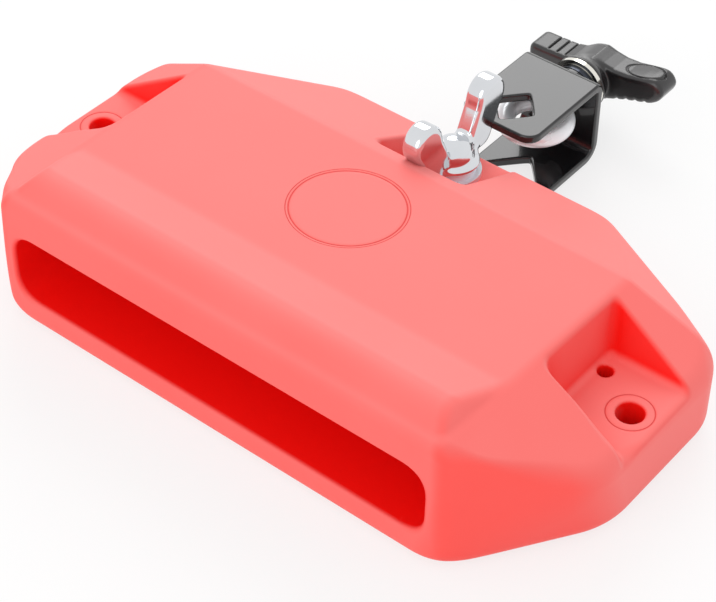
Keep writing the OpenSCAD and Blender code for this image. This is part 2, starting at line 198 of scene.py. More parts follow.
def thinOut(piece, triangles):
    # Collapses the flat parts of a mesh until it has about that many triangles.
    now = sum(p.loop_total - 2 for p in piece.data.polygons)
    if now <= triangles:
        return
    thin = piece.modifiers.new("thin", "DECIMATE")
    thin.ratio = triangles / now
    view = bpy.context.evaluated_depsgraph_get()
    view.update()
    mesh = bpy.data.meshes.new_from_object(piece.evaluated_get(view))
    piece.modifiers.clear()
    piece.data = mesh


def shadeByField(piece, field):
    # Shades a piece by the slope of its own field, and gives its points and normals.
    points = np.empty(len(piece.data.vertices) * 3, np.float32)
    piece.data.vertices.foreach_get("co", points)
    points = points.reshape(-1, 3).astype(float) / mm
    slope = fieldSlope(field, points)
    slope /= np.maximum(np.linalg.norm(slope, axis=1), 1e-6)[:, None]
    piece.data.normals_split_custom_set_from_vertices(slope.tolist())
    return points, slope


def fieldPiece(name, field, low, high, form):
    step, triangles = form["step"], form["triangles"]
    piece = netSurface(name, field, low, high, step)
    thinOut(piece, triangles)
    points, normals = shadeByField(piece, field)
    print(name, len(piece.data.polygons), "faces")
    return piece, points, normals


def pointMask(piece, name, values):
    layer = piece.data.attributes.new(name, "FLOAT", "POINT")
    layer.data.foreach_set("value", np.clip(values, 0, 1).astype(np.float32))


# Block: planes through named points, every edge rounded, the same on the left and right.
blockForm = {
    "halfLength": 109.7, "frontFoot": 62.3, "back": 63.0, "side": 26.4,
    "frontHalf": 81.5, "endFront": 29.4, "footFront": 20.0, "endBack": 33.0, "backHalf": 50.0,
    "topHalf": 78.8, "topBackHalf": 79.3, "crease": 30.0, "creaseHeight": 45.6,
    "topBack": 27.5, "topBackHeight": 43.4, "ridgeHalf": 74.0, "ridge": 50.0, "ridgeHeight": 51.9,
    "browHalf": 80.0, "brow": 61.2, "browHeight": 44.2,
    "slotHalf": 76.2, "slotLow": 10.8, "slotHigh": 34.5, "slotBack": 20.7,
    "earFloor": 25.0, "earHole": 100.0, "earHoleRadius": 4.1, "pocketFront": 16.0, "pocketBack": 16.0,
    "pocketInner": 82.5, "innerLean": 2.5, "backLean": 4.0,
    "pegX": 85.6, "pegY": 9.1, "pegRadius": 2.3, "pegDepth": 8.0,
    "notchHalf": 15.0, "notchLean": 2.5, "notchStart": 33.6, "notchFloor": 25.5,
    "pivot": 51.4, "roomHalf": 15.2, "roomTop": 4.0, "nutRadius": 9.7, "nutTop": 10.5, "studRadius": 4.5,
    "swing": 20.0,
    "topRing": {"y": 0.5, "radius": 17.3, "width": 0.6, "depth": 0.14, "above": 38.0},
    "earRing": {"radius": 6.9, "width": 0.5, "depth": 0.12, "near": 1.6},
    "step": 0.6, "triangles": 185000,
}

# How softly each edge of the block is rounded, and where the top edge grows softer.
blockEdges = {
    "endCrest": 0.9, "backCrest": 0.8, "ridge": 4.2, "ridgeEnd": 2.2, "ridgeFoot": 0.7,
    "frontCorner": 8.0, "browCorner": 2.0, "end": 5.0, "backCorner": 9.0, "back": 3.0, "foot": 6.5,
    "lip": 1.6, "endLip": 3.4, "endLipX": (86.0, 104.0),
    "browLip": 2.6, "browLipX": (92.0, 80.0), "browLipY": (-48.0, -58.0),
    "slotCorner": 9.0, "slotBack": 6.0, "slotMouth": 1.3,
    "pocketFront": 4.5, "pocketBack": 2.6, "pocketFloor": 2.2, "pocketMouth": 1.3,
    "pocketOuter": 1.8, "outerX": (91.0, 103.0), "outerY": (-6.0, -14.0), "earHole": 0.9, "peg": 0.7,
    "notchCorner": 4.0, "notchFloor": 2.4, "notchMouth": 1.3, "room": 0.6, "nut": 0.5, "stud": 0.8,
}


def blockPlanes(f):
    # Each flat of the block, through three of its corner points on the right half.
    core = (0, 0, f["side"] / 2)
    frontBase = (f["frontHalf"], -f["frontFoot"], 0)
    endFront = (f["halfLength"], -f["endFront"], f["side"])
    endFrontBase = (f["halfLength"], -f["footFront"], 0)
    endBack = (f["halfLength"], f["endBack"], f["side"])
    endBackBase = (f["halfLength"], f["endBack"], 0)
    back = (f["backHalf"], f["back"], f["side"])
    backBase = (f["backHalf"], f["back"], 0)
    topFront = (f["topHalf"], -f["crease"], f["creaseHeight"])
    topBack = (f["topBackHalf"], f["topBack"], f["topBackHeight"])
    ridge = (f["ridgeHalf"], -f["ridge"], f["ridgeHeight"])
    brow = (f["browHalf"], -f["brow"], f["browHeight"])
    endMiddle = (f["halfLength"], (f["endBack"] - f["endFront"]) / 2, f["side"])

    def left(p):
        return (-p[0], p[1], p[2])

    return {
        "front": planeThrough(frontBase, left(frontBase), brow, core),
        "chamfer": planeThrough(frontBase, endFrontBase, endFront, core),
        "browChamfer": planeThrough(frontBase, brow, endFront, core),
        "backChamfer": planeThrough(endBackBase, backBase, back, core),
        "top": planeThrough(topFront, left(topFront), topBack, core),
        "endSlope": planeThrough(topFront, topBack, endMiddle, core),
        "backSlope": planeThrough(topBack, left(topBack), back, core),
        "cornerSlope": planeThrough(topBack, endBack, back, core),
        "ridgeBack": planeThrough(topFront, left(topFront), ridge, core),
        "nose": planeThrough(ridge, left(ridge), brow, core),
        "ridgeEnd": planeThrough(topFront, ridge, brow, core),
    }


def blockFields(f, edge):
    planes = blockPlanes(f)
    turn = math.radians(f["swing"])
    middle, half = (f["slotLow"] + f["slotHigh"]) / 2, (f["slotHigh"] - f["slotLow"]) / 2

    def slotField(x, y, z):
        # Inside the slot's width, height and depth, the largest of the three with rounded corners.
        sides = roundMax(np.abs(x) - f["slotHalf"], np.abs(z - middle) - half, edge["slotCorner"])
        return roundMax(sides, y - f["slotBack"], edge["slotBack"])

    def pocketField(x, y, z):
        # The same for the ear pocket, whose inner and back walls lean out with the height. The factors
        # undo the lean's stretch.
        rise = (z - f["earFloor"]) / (f["creaseHeight"] - f["earFloor"])
        inner = (f["pocketInner"] - f["innerLean"] * rise - x) * 0.99
        far = (y - f["pocketBack"] - f["backLean"] * rise) * 0.98
        pocket = roundMax(inner, -f["pocketFront"] - y, edge["pocketFront"])
        pocket = roundMax(pocket, far, edge["pocketBack"])
        return roundMax(pocket, f["earFloor"] - z, edge["pocketFloor"])

    def notchField(x, y, z):
        # The notch for the wing screw, open at the back and wider at the top.
        lift = (z - f["notchFloor"]) / (f["creaseHeight"] - f["notchFloor"])
        sides = x - f["notchHalf"] - f["notchLean"] * lift
        notch = roundMax(sides, f["notchStart"] - y, edge["notchCorner"])
        return roundMax(notch, f["notchFloor"] - z, edge["notchFloor"])

    def roomField(x, y, z, fromPivot):
        # The leg's room: a disc round the pivot and the half strip that the leg fills at the end of its
        # swing, measured across and along the leg.
        across = x * math.cos(turn) - (y - f["pivot"]) * math.sin(turn)
        along = x * math.sin(turn) + (y - f["pivot"]) * math.cos(turn)
        swung = np.maximum(across - f["roomHalf"], -along)
        return np.maximum(np.minimum(fromPivot - f["roomHalf"], swung), z - f["roomTop"])

    def shellField(x, y, z):
        # The upper surface is the higher of the panel and the ridge on it. The shell lies below it,
        # within the walls and above the foot.
        d = {name: away(plane, x, y, z) for name, plane in planes.items()}
        panel = roundMax(d["top"], d["endSlope"], edge["endCrest"])
        panel = roundMax(panel, d["backSlope"], edge["backCrest"])
        panel = roundMax(panel, d["cornerSlope"], edge["backCrest"])
        ridge = roundMax(d["nose"], d["ridgeBack"], edge["ridge"])
        ridge = roundMax(ridge, d["ridgeEnd"], edge["ridgeEnd"])
        upper = roundMin(panel, ridge, edge["ridgeFoot"])
        walls = roundMax(d["front"], d["chamfer"], edge["frontCorner"])
        walls = roundMax(walls, d["browChamfer"], edge["browCorner"])
        walls = roundMax(walls, x - f["halfLength"], edge["end"])
        walls = roundMax(walls, d["backChamfer"], edge["backCorner"])
        walls = roundMax(walls, y - f["back"], edge["back"])
        atBrow = smoothStep(*edge["browLipY"], y) * smoothStep(*edge["browLipX"], x)
        atEnd = smoothStep(*edge["endLipX"], x)
        lip = edge["lip"] + edge["endLip"] * atEnd + edge["browLip"] * atBrow
        return roundMax(roundMax(walls, upper, lip), -z, edge["foot"])

    def blockField(x, y, z):
        # The shell less each opening, and less two shallow rings: depth times a bell across the line.
        x = np.abs(x)
        fromHole = np.sqrt((x - f["earHole"]) ** 2 + y * y)
        fromPeg = np.sqrt((x - f["pegX"]) ** 2 + (y - f["pegY"]) ** 2)
        fromPivot = np.sqrt(x * x + (y - f["pivot"]) ** 2)
        outer = smoothStep(*edge["outerX"], x) * smoothStep(*edge["outerY"], y)
        body = shellField(x, y, z)
        body = carve(body, slotField(x, y, z), edge["slotMouth"])
        body = carve(body, pocketField(x, y, z), edge["pocketMouth"] + edge["pocketOuter"] * outer)
        body = carve(body, fromHole - f["earHoleRadius"], edge["earHole"])
        peg = np.maximum(fromPeg - f["pegRadius"], f["earFloor"] - f["pegDepth"] - z)
        body = carve(body, peg, edge["peg"])
        body = carve(body, notchField(x, y, z), edge["notchMouth"])
        body = carve(body, roomField(x, y, z, fromPivot), edge["room"])
        body = carve(body, np.maximum(fromPivot - f["nutRadius"], z - f["nutTop"]), edge["nut"])
        body = carve(body, fromPivot - f["studRadius"], edge["stud"])
        ear, top = f["earRing"], f["topRing"]
        onEar = np.abs(z - f["earFloor"]) < ear["near"]
        earLine = ear["depth"] * bell(fromHole - ear["radius"], ear["width"]) * onEar
        fromMiddle = np.sqrt(x * x + (y - top["y"]) ** 2)
        topLine = top["depth"] * bell(fromMiddle - top["radius"], top["width"]) * (z > top["above"])
        return body + earLine + topLine

    return blockField, slotField, pocketField


# Masks for the red plastic's painted light and painted shade: ramps are a pair of where it is zero and
# where it is one.
blockMasks = {
    "slotRamp": (-1.0, -0.1), "mouthRamp": (-61.9, -60.3), "reaches": (2.0, 5.0, 9.0, 15.0),
    "plainEdge": 0.3, "most": 2.0, "pocketRamp": (-2.6, -0.6), "pocketTop": 46.0,
    "wallFront": 0.97, "wallSide": 0.5, "wallBack": 0.2, "near": 1.1, "nearUp": -0.6, "nearFront": 0.6,
    "paintedLight": 0.66, "paintedLightUp": 0.07, "paintedLightBack": 0.24, "backRamp": (0.08, 0.28), "paintedLightFront": 0.4,
    "frontEase": 0.35, "paintedLightSideUp": 0.2, "paintedLightSideFront": 0.75,
}


def shelter(field, points, normals, m):
    # How far the field falls short of the distance walked along the normal, which is how closely
    # other walls stand round a point. The first part of it is what a plain outer edge gives.
    total = np.zeros(len(points))
    for reach in m["reaches"]:
        short = (reach - field(*(points + normals * reach).T)) / reach
        total += np.clip((short - m["plainEdge"]) / (1 - m["plainEdge"]), 0.0, m["most"])
    return total / len(m["reaches"])


def maskBlock(piece, points, normals, m):
    # cavity is the slot and shelter is how enclosed a point is, both used for painted shade; paintedLight
    # is painted light and shade by facet, paler on tops and backs and darker on fronts and sides.
    x, y, z = points.T
    up, front, back = (np.maximum(n, 0) for n in (normals[:, 2], -normals[:, 1], normals[:, 1]))
    side = np.abs(normals[:, 0])
    # Painted shade: the inside of the slot is marked for the deepest red.
    cavity = smoothStep(*m["slotRamp"], -slotField(x, y, z)) * smoothStep(*m["mouthRamp"], y)
    pointMask(piece, "cavity", cavity)
    # Painted shade: the more enclosed a point, the deeper its red, less on faces that look up and more on
    # faces that look to the front.
    near = shelter(blockField, points, normals, m)
    near = m["near"] * near * (1 + m["nearUp"] * up) * (1 + m["nearFront"] * front)
    inPocket = smoothStep(*m["pocketRamp"], -np.abs(pocketField(np.abs(x), y, z))) * (z < m["pocketTop"])
    # Painted shade: pocket walls that face the front are darkest, the sides less and the back least.
    wall = m["wallFront"] * front + m["wallSide"] * side + m["wallBack"] * back
    wall = inPocket * wall * (1 - up)
    pointMask(piece, "shelter", wall + (1 - wall) * near)
    # Painted light and shade by facet: paler on tops and backs, darker on fronts and sides, most where a
    # side meets the front.
    paintedLight = m["paintedLight"] + m["paintedLightUp"] * up + m["paintedLightBack"] * smoothStep(*m["backRamp"], back)
    paintedLight = paintedLight - m["paintedLightFront"] * front * (1 - m["frontEase"] * front)
    paintedLight = paintedLight - m["paintedLightSideUp"] * side * up - m["paintedLightSideFront"] * side * front
    pointMask(piece, "paintedLight", paintedLight)


blockField, slotField, pocketField = blockFields(blockForm, blockEdges)
block, points, normals = fieldPiece("moulded_block", blockField, (-112, -66, -3), (112, 66, 55), blockForm)
maskBlock(block, points, normals, blockMasks)
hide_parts("block_body")
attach(block, "block")


# Wing screw: two flat-sided ears on necks that grow out of a domed hub with a foot.
wingForm = {
    "pivot": 51.4, "base": 29.7, "hub": 7.1, "foot": 8.5, "footHigh": 2.0, "top": 38.8, "dome": 6.6,
    "earY": 15.9, "earZ": 46.8, "earRadius": 6.2, "thick": 3.4,
    "neck": 5.8, "neckFrom": (0, 10.8, 35.2), "neckIn": 0.4, "neckDown": 1.0, "clear": 0.4,
    "crown": 1.5, "baseEdge": 0.4, "footEdge": 1.2, "footBlend": 1.6, "neckBlend": 1.5, "earEdge": 2.0,
    "wingEdge": 0.6, "hubBlend": 2.0, "step": 0.3, "triangles": 46000,
}


def wingField(x, y, z):
    # Hub: a cylinder under a sphere. Wings: a disc and a capsule in Y and Z, cut to a thickness in X.
    f = wingForm
    y = y - f["pivot"]
    r = np.sqrt(x * x + y * y)
    dome = np.sqrt(x * x + y * y + (z - f["top"] + f["dome"]) ** 2) - f["dome"]
    hub = roundMax(roundMax(r - f["hub"], dome, f["crown"]), f["base"] - z, f["baseEdge"])
    halfFoot = f["footHigh"] / 2
    foot = roundMax(r - f["foot"], np.abs(z - f["base"] - halfFoot) - halfFoot, f["footEdge"])
    hub = roundMin(hub, foot, f["footBlend"])
    side = np.abs(y)
    ear = np.sqrt((side - f["earY"]) ** 2 + (z - f["earZ"]) ** 2) - f["earRadius"]
    neckEnd = (0, f["earY"] - f["neckIn"], f["earZ"] - f["neckDown"])
    neck = rod(0, side, z, f["neckFrom"], neckEnd, f["neck"])
    wing = roundMax(roundMin(ear, neck, f["neckBlend"]), np.abs(x) - f["thick"], f["earEdge"])
    wing = roundMax(wing, f["base"] + f["clear"] - z, f["wingEdge"])
    return roundMin(hub, wing, f["hubBlend"])


wing = fieldPiece("wing_screw_head", wingField, (-10, 27, 28), (10, 76, 55), wingForm)[0]
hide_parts("wing_head")
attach(wing, "wing_head")


# Handle: a profile drawn in X and Z, as thick along Y as the lobes, with a hub behind it.
handleForm = {
    "axis": 18.4, "near": 126.2, "far": 136.9, "right": 28.4, "left": 24.1,
    "top": [(-30, 21.0), (-24, 21.1), (-17, 21.3), (-11, 21.6), (-7, 22.6), (-3, 24.6), (1, 26.4),
            (5, 25.6), (9, 25.0), (14, 25.4), (20, 26.9), (25, 27.9), (32, 28.2)],
    "bottom": [(-30, 12.0), (-24, 11.8), (-18, 11.3), (-10, 10.4), (-4, 9.2), (0, 8.8), (4, 9.7),
               (7.7, 12.3), (15.2, 15.3), (20.9, 17.1), (25.4, 18.5), (32, 19.8)],
    "grooves": (-17.0, -13.6, -10.3), "grooveWidth": 0.3, "grooveDepth": 0.8, "grooveFrom": (1.0, 2.4),
    "ribs": (11.5, 15.0, 18.5, 22.0), "ribWidth": 0.7, "ribDepth": 0.5,
    "belly": 0.4, "bellyX": (8.0, 24.0), "bellyHalf": 5.2,
    "slabEdge": 1.6, "rightEdge": 6.0, "leftEdge": 2.2, "faceEdge": 2.0,
    "hub": 9.7, "start": 121.3, "neckEnd": 136.5, "waist": 3.4, "waistY": (121.5, 129.5),
    "neckEdge": 0.8, "neckBlend": 2.0, "bore": 5.35, "boreEnd": 134.0, "boreEdge": 0.4,
    "oval": {"x": 19.0, "y": 131.4, "halfX": 7.4, "halfY": 4.0, "line": 0.94, "width": 0.05,
             "depth": 0.42, "above": 22.0},
    "step": 0.32, "triangles": 70000,
}


def handleField(x, y, z):
    # Slab: between the top and bottom lines, less the grooves, ribs and belly. The hub is a round neck
    # that grows thinner along Y. The oval line is where the scaled distance from its centre is near one.
    f = handleForm
    middle, half = (f["near"] + f["far"]) / 2, (f["far"] - f["near"]) / 2
    top = np.interp(x, *zip(*f["top"]))
    bottom = np.interp(x, *zip(*f["bottom"]))
    grooves = sum(f["grooveDepth"] * bell(x - g, f["grooveWidth"]) for g in f["grooves"])
    grooves = grooves * smoothStep(*(f["near"] + d for d in f["grooveFrom"]), y)
    ribs = sum(f["ribDepth"] * bell(x - g, f["ribWidth"]) for g in f["ribs"])
    belly = f["belly"] * smoothStep(*f["bellyX"], x) * ((y - middle) / f["bellyHalf"]) ** 2
    slope = 0.93  # undoes the stretch of the sloping lines
    slab = roundMax(slope * (z - top + grooves + belly), slope * (bottom - z + ribs), f["slabEdge"])
    slab = roundMax(slab, x - f["right"], f["rightEdge"])
    slab = roundMax(slab, -f["left"] - x, f["leftEdge"])
    slab = roundMax(slab, np.abs(y - middle) - half, f["faceEdge"])
    r = np.sqrt(x * x + (z - f["axis"]) ** 2)
    waist = f["hub"] - f["waist"] * smoothStep(*f["waistY"], y)
    neck = roundMax(r - waist, np.maximum(f["start"] - y, y - f["neckEnd"]), f["neckEdge"])
    body = roundMin(slab, neck, f["neckBlend"])
    o = f["oval"]
    fromOval = np.sqrt(((x - o["x"]) / o["halfX"]) ** 2 + ((y - o["y"]) / o["halfY"]) ** 2)
    ovalLine = o["depth"] * bell(fromOval - o["line"], o["width"]) * (z > o["above"])
    return carve(body + ovalLine, np.maximum(r - f["bore"], y - f["boreEnd"]), f["boreEdge"])


handle = fieldPiece("clamp_handle", handleField, (-27, 119, 5), (31, 139, 31), handleForm)[0]
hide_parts("wing_handle")
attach(handle, "handle")


# Bracket: a strip bent like a U, with both rod holes, all edges softened by paint.
bracketForm = {
    "half": 14.5, "thick": 3.0, "low": 2.0, "high": 29.7, "wall": 111.3, "lowBend": 5.0, "highBend": 2.1,
    "pivot": 51.4, "front": 73.2, "corner": 5.0, "paint": 0.9,
    "rod": 84.2, "upHole": (7.5, 8.6), "lowHole": (10.3, 11.5), "blunt": 0.5, "holeReach": 14.0,
    "holeEdge": 0.8, "eyeHole": 3.7, "eyeHeight": 18.4, "eyeFrom": 100.0,
    "stud": 4.5, "studTop": 12.0, "boreEdge": 0.5, "step": 0.38, "triangles": 70000,
}


def bracketField(x, y, z):
    # Sheet: half its thickness on either side of a U in Y and Z, cut to a rounded outline in X and Y.
    # Each rod hole is a diamond, |x| over its half width plus |y| over its half length less one.
    f = bracketForm
    middle, half = (f["low"] + f["high"]) / 2, (f["high"] - f["low"]) / 2
    lower = z < middle
    side = np.abs(x)
    bend = np.where(lower, f["lowBend"], f["highBend"])
    dy = np.maximum(y - f["wall"] + bend, 0)
    dz = np.maximum(np.abs(z - middle) - half + bend, 0)
    box = np.where((dy > 0) | (dz > 0), np.sqrt(dy * dy + dz * dz) - bend,
                   np.maximum(y - f["wall"], np.abs(z - middle) - half))
    sheet = np.abs(box) - f["thick"] / 2
    fromPivot = np.sqrt(x * x + (y - f["pivot"]) ** 2)
    lowLeg = np.where(y < f["pivot"], fromPivot, side) - f["half"]
    ex = np.maximum(side - f["half"] + f["corner"], 0)
    ey = np.maximum(f["front"] + f["corner"] - y, 0)
    topLeg = np.where((ex > 0) & (ey > 0), np.sqrt(ex * ex + ey * ey) - f["corner"],
                      np.maximum(side - f["half"], f["front"] - y))
    body = roundMax(sheet, np.where(lower, lowLeg, topLeg), f["paint"])
    hx, hy = (np.where(lower, f["lowHole"][i], f["upHole"][i]) for i in (0, 1))
    bluntX = np.sqrt(x * x + f["blunt"]) / hx
    bluntY = np.sqrt((y - f["rod"]) ** 2 + f["blunt"]) / hy
    diamond = (bluntX + bluntY - 1.0) * (hx * hy / np.sqrt(hx * hx + hy * hy))
    body = carve(body, np.maximum(diamond, np.abs(y - f["rod"]) - f["holeReach"]), f["holeEdge"])
    fromEye = np.sqrt(x * x + (z - f["eyeHeight"]) ** 2)
    body = carve(body, np.maximum(fromEye - f["eyeHole"], f["eyeFrom"] - y), f["boreEdge"])
    return carve(body, np.maximum(fromPivot - f["stud"], z - f["studTop"]), f["boreEdge"])


bracket = fieldPiece("rod_bracket", bracketField, (-17, 34, -1.5), (17, 115, 33.5), bracketForm)[0]
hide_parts("clamp_bracket")
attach(bracket, "bracket")


# Nodes that every material is built from.
def newMaterial(name):
    material = bpy.data.materials.new(name)
    material.use_nodes = True
    tree = material.node_tree
    return material, tree, tree.nodes["Principled BSDF"]


def addNode(tree, kind, **inputs):
    node = tree.nodes.new(kind)
    for key, value in inputs.items():
        node.inputs[key.replace("_", " ")].default_value = value
    return node


def addMath(tree, operation, *values):
    # A sum of numbers and sockets, by Blender's own name for it.
    node = tree.nodes.new("ShaderNodeMath")
    node.operation = operation
    for i, value in enumerate(values):
        if isinstance(value, float):
            node.inputs[i].default_value = value
        else:
            tree.links.new(value, node.inputs[i])
    return node.outputs[0]


def addRamp(tree, value, **ends):
    node = addNode(tree, "ShaderNodeMapRange", **ends)
    tree.links.new(value, node.inputs["Value"])
    return node.outputs["Result"]


def addMask(tree, name):
    node = tree.nodes.new("ShaderNodeAttribute")
    node.attribute_name = name
    return node.outputs["Fac"]


def addPlace(tree):
    # The three Object coordinates, each on its own.
    place = tree.nodes.new("ShaderNodeTexCoord")
    split = tree.nodes.new("ShaderNodeSeparateXYZ")
    tree.links.new(place.outputs["Object"], split.inputs[0])
    return split.outputs


def blendColours(tree, factor, a, b):
    # The Mix node's colours are its inputs 6 and 7 and its output 2.
    mix = tree.nodes.new("ShaderNodeMix")
    mix.data_type = "RGBA"
    tree.links.new(factor, mix.inputs[0])
    for socket, value in ((6, a), (7, b)):
        if isinstance(value, tuple):
            mix.inputs[socket].default_value = value
        else:
            tree.links.new(value, mix.inputs[socket])
    return mix.outputs[2]


def newGroup(name, inputs, outputs):
    group = bpy.data.node_groups.new(name, "ShaderNodeTree")
    for key, value in inputs.items():
        socket = group.interface.new_socket(key, in_out="INPUT", socket_type="NodeSocketFloat")
        socket.default_value = value
    for key in outputs:
        group.interface.new_socket(key, in_out="OUTPUT", socket_type="NodeSocketFloat")
    return group, group.nodes.new("NodeGroupInput").outputs, group.nodes.new("NodeGroupOutput").inputs


def addGroup(tree, group, values):
    node = tree.nodes.new("ShaderNodeGroup")
    node.node_tree = group
    for key, value in values.items():
        node.inputs[key].default_value = value
    return node.outputs


def makeMottle():
    # Two noises: a soft cloud for colour and roughness, and a fine grain for height.
    group, given, out = newGroup("mottle", {"Cloud Scale": 40.0, "Grain Scale": 900.0}, ("Cloud", "Grain"))
    place = group.nodes.new("ShaderNodeTexCoord")
    for output, detail in (("Cloud", 3.0), ("Grain", 2.0)):
        noise = addNode(group, "ShaderNodeTexNoise", Detail=detail)
        group.links.new(place.outputs["Object"], noise.inputs["Vector"])
        group.links.new(given[output + " Scale"], noise.inputs["Scale"])
        group.links.new(noise.outputs["Fac"], out[output])
    return group


def makeRingLine():
    # A thin circle: one on it and nothing away from it, between two heights. The distance from the
    # circle is the length of (|x| - centre, y - centre) less the radius.
    group, given, out = newGroup("ring_line", {"Centre X": 0.0, "Centre Y": 0.0, "Radius": 0.01,
                                               "Half Width": 0.0003, "Above": 0.0, "Below": 1.0}, ("Mask",))

    def work(operation, *values):
        return addMath(group, operation, *values)

    at = addPlace(group)
    dx = work("SUBTRACT", work("ABSOLUTE", at["X"]), given["Centre X"])
    dy = work("SUBTRACT", at["Y"], given["Centre Y"])
    far = work("SQRT", work("ADD", work("MULTIPLY", dx, dx), work("MULTIPLY", dy, dy)))
    off = work("ABSOLUTE", work("SUBTRACT", far, given["Radius"]))
    near = work("SUBTRACT", 1.0, work("MINIMUM", work("DIVIDE", off, given["Half Width"]), 1.0))
    within = work("MULTIPLY", work("GREATER_THAN", at["Z"], given["Above"]),
                  work("LESS_THAN", at["Z"], given["Below"]))
    group.links.new(work("MULTIPLY", near, within), out["Mask"])
    return group


mottle = makeMottle()
ringLine = makeRingLine()


def addMottle(tree, p):
    return addGroup(tree, mottle, {"Cloud Scale": p["cloud"], "Grain Scale": p["grain"]})


def addFinish(tree, shader, noise, p, normal=None):
    # Roughness wanders by the cloud, and the grain lifts the surface a little. Its normal goes to the
    # shader, or to the socket that is given.
    low, high = p["rough"] - p["wander"], p["rough"] + p["wander"]
    rough = addRamp(tree, noise["Cloud"], To_Min=low, To_Max=high)
    tree.links.new(rough, shader.inputs["Roughness"])
    bump = addNode(tree, "ShaderNodeBump", Strength=p["strength"], Distance=p["height"])
    tree.links.new(noise["Grain"], bump.inputs["Height"])
    tree.links.new(bump.outputs["Normal"], shader.inputs["Normal"] if normal is None else normal)


# Red plastic: full colour blended to pale by paintedLight, which is painted light and shade by facet, then
# to the deeper reds of painted shade by shelter and cavity.
# Lengths in the materials are in metres.
redPlastic = {
    "full": (1.0, 0.088, 0.074, 1), "pale": (1.0, 0.255, 0.24, 1), "near": (0.95, 0.012, 0.008, 1),
    "deep": (0.98, 0.006, 0.004, 1), "line": (0.80, 0.05, 0.045, 1),
    "paintedLightWander": 0.16, "nearRamp": (0.06, 0.9), "cloud": 30.0, "grain": 1100.0,
    "rough": 0.5, "wander": 0.05, "height": 0.0002, "strength": 0.08, "specular": 0.16,
    "lineStrength": 0.5, "lineDepth": 0.0004,
    "rings": [{"Centre Y": 0.0005, "Radius": 0.0173, "Half Width": 0.00035, "Above": 0.038},
              {"Centre Y": 0.0005, "Radius": 0.0182, "Half Width": 0.00022, "Above": 0.038},
              {"Centre X": 0.1, "Radius": 0.0069, "Half Width": 0.00028, "Above": 0.0235, "Below": 0.0272}],
}


def makeRedPlastic(p):
    material, tree, shader = newMaterial("red_plastic")
    noise = addMottle(tree, p)
    paintedLight = addMath(tree, "SUBTRACT", addMask(tree, "paintedLight"), p["paintedLightWander"] / 2)
    paintedLight = addMath(tree, "MULTIPLY_ADD", noise["Cloud"], p["paintedLightWander"], paintedLight)
    near = addRamp(tree, addMask(tree, "shelter"), From_Min=p["nearRamp"][0], From_Max=p["nearRamp"][1])
    lines = [addGroup(tree, ringLine, ring)["Mask"] for ring in p["rings"]]
    line = lines[0]
    for other in lines[1:]:
        line = addMath(tree, "MAXIMUM", line, other)
    # Painted light: the paler red on tops and backs, the full red on fronts and sides.
    tone = blendColours(tree, paintedLight, p["full"], p["pale"])
    # Painted shade: the deeper near red where the block is enclosed.
    tone = blendColours(tree, near, tone, p["near"])
    # Painted shade: the deepest red inside the slot.
    tone = blendColours(tree, addMask(tree, "cavity"), tone, p["deep"])
    # Painted shade: a darker red along the shallow ring grooves.
    tone = blendColours(tree, line, tone, p["line"])
    tree.links.new(tone, shader.inputs["Base Color"])
    sunk = addNode(tree, "ShaderNodeBump", Strength=p["lineStrength"], Distance=p["lineDepth"])
    sunk.invert = True
    tree.links.new(line, sunk.inputs["Height"])
    tree.links.new(sunk.outputs["Normal"], shader.inputs["Normal"])
    addFinish(tree, shader, noise, p, sunk.inputs["Normal"])
    shader.inputs["Specular IOR Level"].default_value = p["specular"]
    return material


# Plating: a metal whose tint and roughness wander a little.
plating = {"cloud": 60.0, "grain": 2600.0, "height": 0.00004, "strength": 0.06}
plates = {
    "chrome_plate": {"dark": (0.62, 0.64, 0.67, 1), "light": (0.76, 0.77, 0.79, 1), "metal": 1.0,
                     "rough": 0.08, "wander": 0.028},
    "zinc_plate": {"dark": (0.76, 0.82, 0.88, 1), "light": (0.86, 0.91, 0.96, 1), "metal": 0.5,
                   "rough": 0.3, "wander": 0.105},
    # A whiter, less metallic copy of the zinc: painted light, so that the shaded eye bolt looks bright.
    "zinc_painted_light": {"dark": (0.90, 0.95, 1.0, 1), "light": (0.97, 0.99, 1.0, 1), "metal": 0.2,
                    "rough": 0.28, "wander": 0.098},
    "brass": {"dark": (0.70, 0.48, 0.20, 1), "light": (0.80, 0.60, 0.30, 1), "metal": 1.0,
              "rough": 0.28, "wander": 0.098},
}


def makePlate(name):
    p = plating | plates[name]
    material, tree, shader = newMaterial(name)
    noise = addMottle(tree, p)
    tree.links.new(blendColours(tree, noise["Cloud"], p["dark"], p["light"]), shader.inputs["Base Color"])
    shader.inputs["Metallic"].default_value = p["metal"]
    addFinish(tree, shader, noise, p)
    return material


# Ferrule: chrome that is bright on the flange and dark in the neck, from one Y to the other; the dark neck
# is painted shade.
ferruleChrome = {
    "neck": (0.05, 0.055, 0.07, 1), "dark": (0.72, 0.70, 0.64, 1), "light": (0.86, 0.84, 0.78, 1),
    "neckEnd": 0.1193, "flange": 0.1198, "rough": 0.16, "wander": 0.04,
}


def makeFerruleChrome():
    p = plating | ferruleChrome
    material, tree, shader = newMaterial("ferrule_chrome")
    noise = addMottle(tree, p)
    # Painted shade: the neck's near-black colour, with the flange left bright.
    onFlange = addRamp(tree, addPlace(tree)["Y"], From_Min=p["neckEnd"], From_Max=p["flange"])
    bright = blendColours(tree, noise["Cloud"], p["dark"], p["light"])
    tree.links.new(blendColours(tree, onFlange, p["neck"], bright), shader.inputs["Base Color"])
    shader.inputs["Metallic"].default_value = 1.0
    addFinish(tree, shader, noise, p)
    return material


